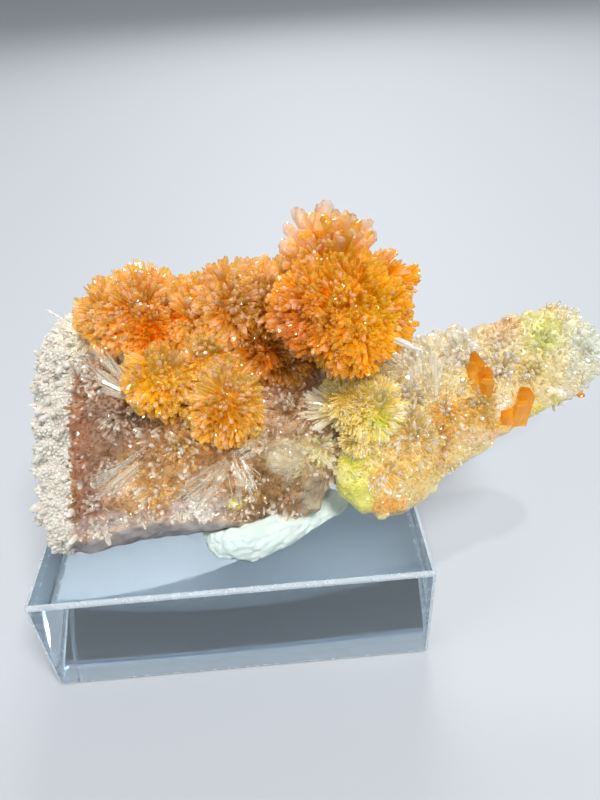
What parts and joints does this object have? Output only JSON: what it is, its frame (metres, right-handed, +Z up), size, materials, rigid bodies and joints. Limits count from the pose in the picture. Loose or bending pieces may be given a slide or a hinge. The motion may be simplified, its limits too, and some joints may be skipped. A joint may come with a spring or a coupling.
{
  "type": "creedite specimen on display block",
  "caption": "Orange creedite sprays and a pale crystal arm on brown host rock, fixed with putty to a clear rectangular display block.",
  "frame": {"origin": "centre of the display block's underside", "axes": "+Z up out of the block's top; the crystal face looks towards -Y and up; +X along the specimen towards the pale arm's tip"},
  "size_m": [0.0563, 0.038, 0.0419],
  "materials": {
    "clear_acrylic": "polished",
    "mint_tack": "matte",
    "brown_rock": "matte",
    "pale_crust": "satin",
    "orange_crystal": "polished",
    "amber_crystal": "polished",
    "yellow_crystal": "polished",
    "clear_crystal": "polished"
  },
  "bodies": {
    "root": {"display_block": "clear_acrylic", "mineral_tack": "mint_tack", "host_rock": "brown_rock", "pale_arm": "pale_crust", "orange_ball": "orange_crystal", "orange_ridge": "orange_crystal", "tall_orange_blade": "orange_crystal", "low_orange_blade": "orange_crystal", "amber_spray": "amber_crystal", "yellow_spray": "yellow_crystal", "upper_blades": "clear_crystal", "left_blades": "clear_crystal", "lower_blades": "clear_crystal"}
  },
  "joints": []
}
